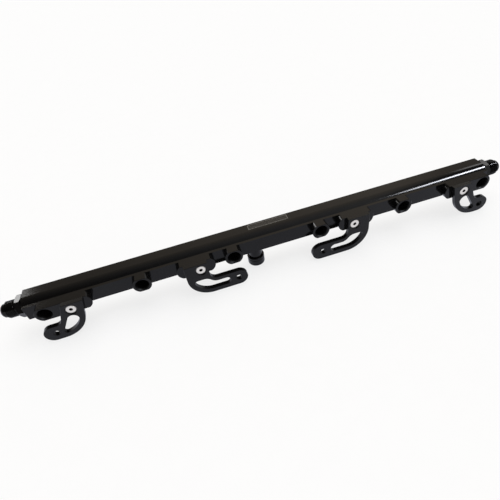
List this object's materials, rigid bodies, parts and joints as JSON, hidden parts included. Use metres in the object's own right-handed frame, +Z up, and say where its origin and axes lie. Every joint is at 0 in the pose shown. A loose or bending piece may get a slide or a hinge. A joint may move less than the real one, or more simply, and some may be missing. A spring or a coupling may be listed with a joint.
{
  "type": "fuel rail",
  "caption": "Straight black fuel rail with a row of round injector pockets, swept mounting brackets, threaded hose ends and a capped port underneath.",
  "frame": {"origin": "midway between the bolt holes of the two centre brackets, on the brackets' front seating face", "axes": "+X along the rail from the left end to the right, -Y out of the injector mouths towards the engine, +Z up, with the rail above the bolt line"},
  "size_m": [0.6024, 0.0416, 0.0501],
  "materials": {
    "anodised_body": "black anodised, satin, extruded and milled",
    "anodised_brackets": "black anodised, satin, milled plate",
    "anodised_fittings": "black anodised, turned, glossier than the rail",
    "screws": "bright stainless, turned head",
    "seals": "matt black"
  },
  "bodies": {
    "root": {"rail_body": "anodised_body", "left_end_adapter": "anodised_fittings", "left_end_o_ring": "seals", "right_end_adapter": "anodised_fittings", "right_end_o_ring": "seals", "centre_port_fitting": "anodised_fittings", "centre_port_o_ring": "seals", "centre_port_cap": "anodised_fittings", "left_end_bracket": "anodised_brackets", "left_centre_bracket": "anodised_brackets", "right_centre_bracket": "anodised_brackets", "right_end_bracket": "anodised_brackets", "left_end_screw": "screws", "left_centre_screw": "screws", "right_centre_screw": "screws", "right_end_screw": "screws"}
  },
  "joints": []
}
